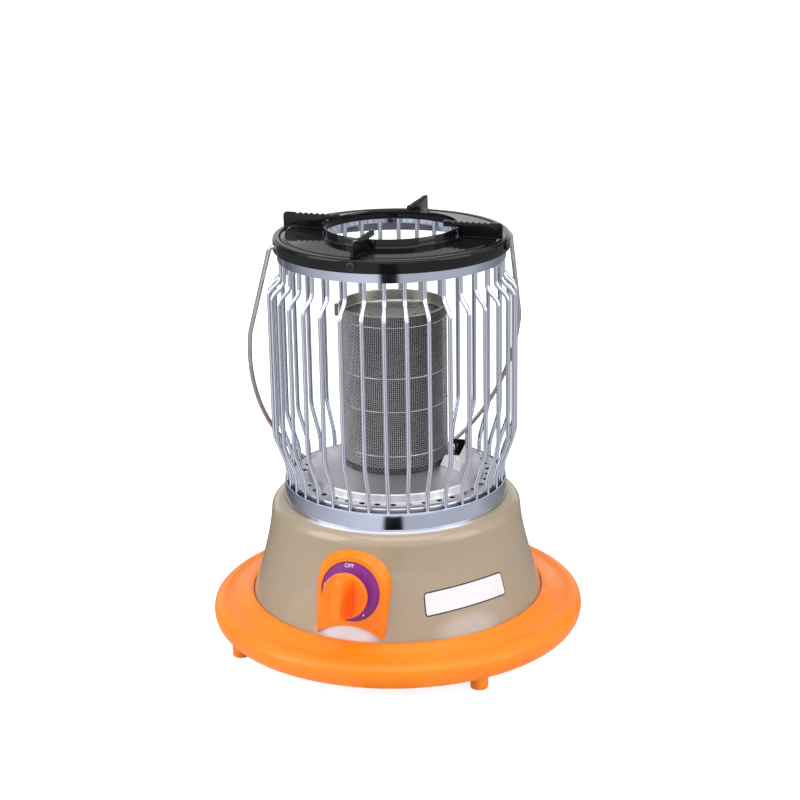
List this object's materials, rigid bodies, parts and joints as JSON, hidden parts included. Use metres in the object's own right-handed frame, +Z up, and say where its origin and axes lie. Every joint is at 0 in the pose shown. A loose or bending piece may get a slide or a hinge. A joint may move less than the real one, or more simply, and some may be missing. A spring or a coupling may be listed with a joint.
{
  "type": "catalytic gas heater stove",
  "caption": "Round catalytic gas heater stove: caged gauze burner on a flared housing with a control knob, pot supports on top and a wire bail handle.",
  "frame": {"origin": "on the floor under the middle of the base", "axes": "+Z up, -Y towards the side with the knob, +X to the right of someone facing the knob"},
  "size_m": [0.34, 0.34, 0.384],
  "materials": {
    "orange_plastic": "moulded orange plastic, soft gloss",
    "champagne_paint": "champagne paint on sheet, satin gloss",
    "dull_steel": "plain sheet steel, dull",
    "black_screw": "blackened screws",
    "chromed_wire": "chromed steel wire and strip",
    "black_enamel": "black enamel, glossy",
    "bright_wire": "bright stainless wire",
    "plated_sheet": "plated sheet steel",
    "gauze": "fine woven steel gauze, darkened",
    "catalyst": "dark fibre pad, matt",
    "cast_alloy": "cast light alloy",
    "brass": "machined brass",
    "purple_print": "printed purple dial",
    "black_plastic": "black plastic, matt",
    "copper_pipe": "drawn copper",
    "ceramic": "white glazed ceramic"
  },
  "bodies": {
    "stove": {"base_ring": "orange_plastic", "foot_1": "orange_plastic", "foot_2": "orange_plastic", "foot_3": "orange_plastic", "foot_4": "orange_plastic", "housing_shell": "champagne_paint", "bottom_plate": "dull_steel", "base_screw_1": "black_screw", "base_screw_2": "black_screw", "base_screw_3": "black_screw", "base_screw_4": "black_screw", "guard_cage": "chromed_wire", "top_plate": "black_enamel", "pot_support_1": "black_enamel", "pot_support_2": "black_enamel", "pot_support_3": "black_enamel", "pot_support_4": "black_enamel", "rim_screw_1": "black_screw", "rim_screw_2": "black_screw", "rim_screw_3": "black_screw", "rim_screw_4": "black_screw", "burner_dish": "plated_sheet", "burner_cup": "plated_sheet", "gauze_sleeve": "gauze", "catalyst_sleeve": "catalyst", "burner_cap": "plated_sheet", "cap_disc": "plated_sheet", "mixing_tube": "cast_alloy", "injector": "brass", "knob_bezel": "orange_plastic", "dial_plate": "purple_print", "gas_valve": "cast_alloy", "valve_bracket": "dull_steel", "igniter_unit": "black_plastic", "hose_nipple": "brass", "nipple_nut": "brass", "gas_pipe": "copper_pipe", "inlet_pipe": "copper_pipe", "flame_shield": "plated_sheet", "electrode_insulator": "ceramic", "ignition_electrode": "bright_wire", "flame_sensor": "copper_pipe"},
    "bail": {"bail_handle": "bright_wire"},
    "plunger": {"valve_plunger": "brass"},
    "control": {"knob": "orange_plastic", "valve_stem": "brass"}
  },
  "joints": [
    {"name": "bail_swing", "type": "hinge", "parent": "stove", "child": "bail", "pos_m": [0, 0, 0.3638], "axis": [0.866, 0.5, 0], "range_deg": [0, 308]},
    {"name": "knob_push", "type": "slide", "parent": "stove", "child": "plunger", "axis": [0, 0.9914, -0.1305], "range_m": [0, 0.003], "stiffness_N_per_m": 600, "springref_m": -0.004},
    {"name": "knob_turn", "type": "hinge", "parent": "plunger", "child": "control", "pos_m": [0, -0.1255, 0.0816], "axis": [0, -0.9914, 0.1305], "range_deg": [0, 210]}
  ]
}
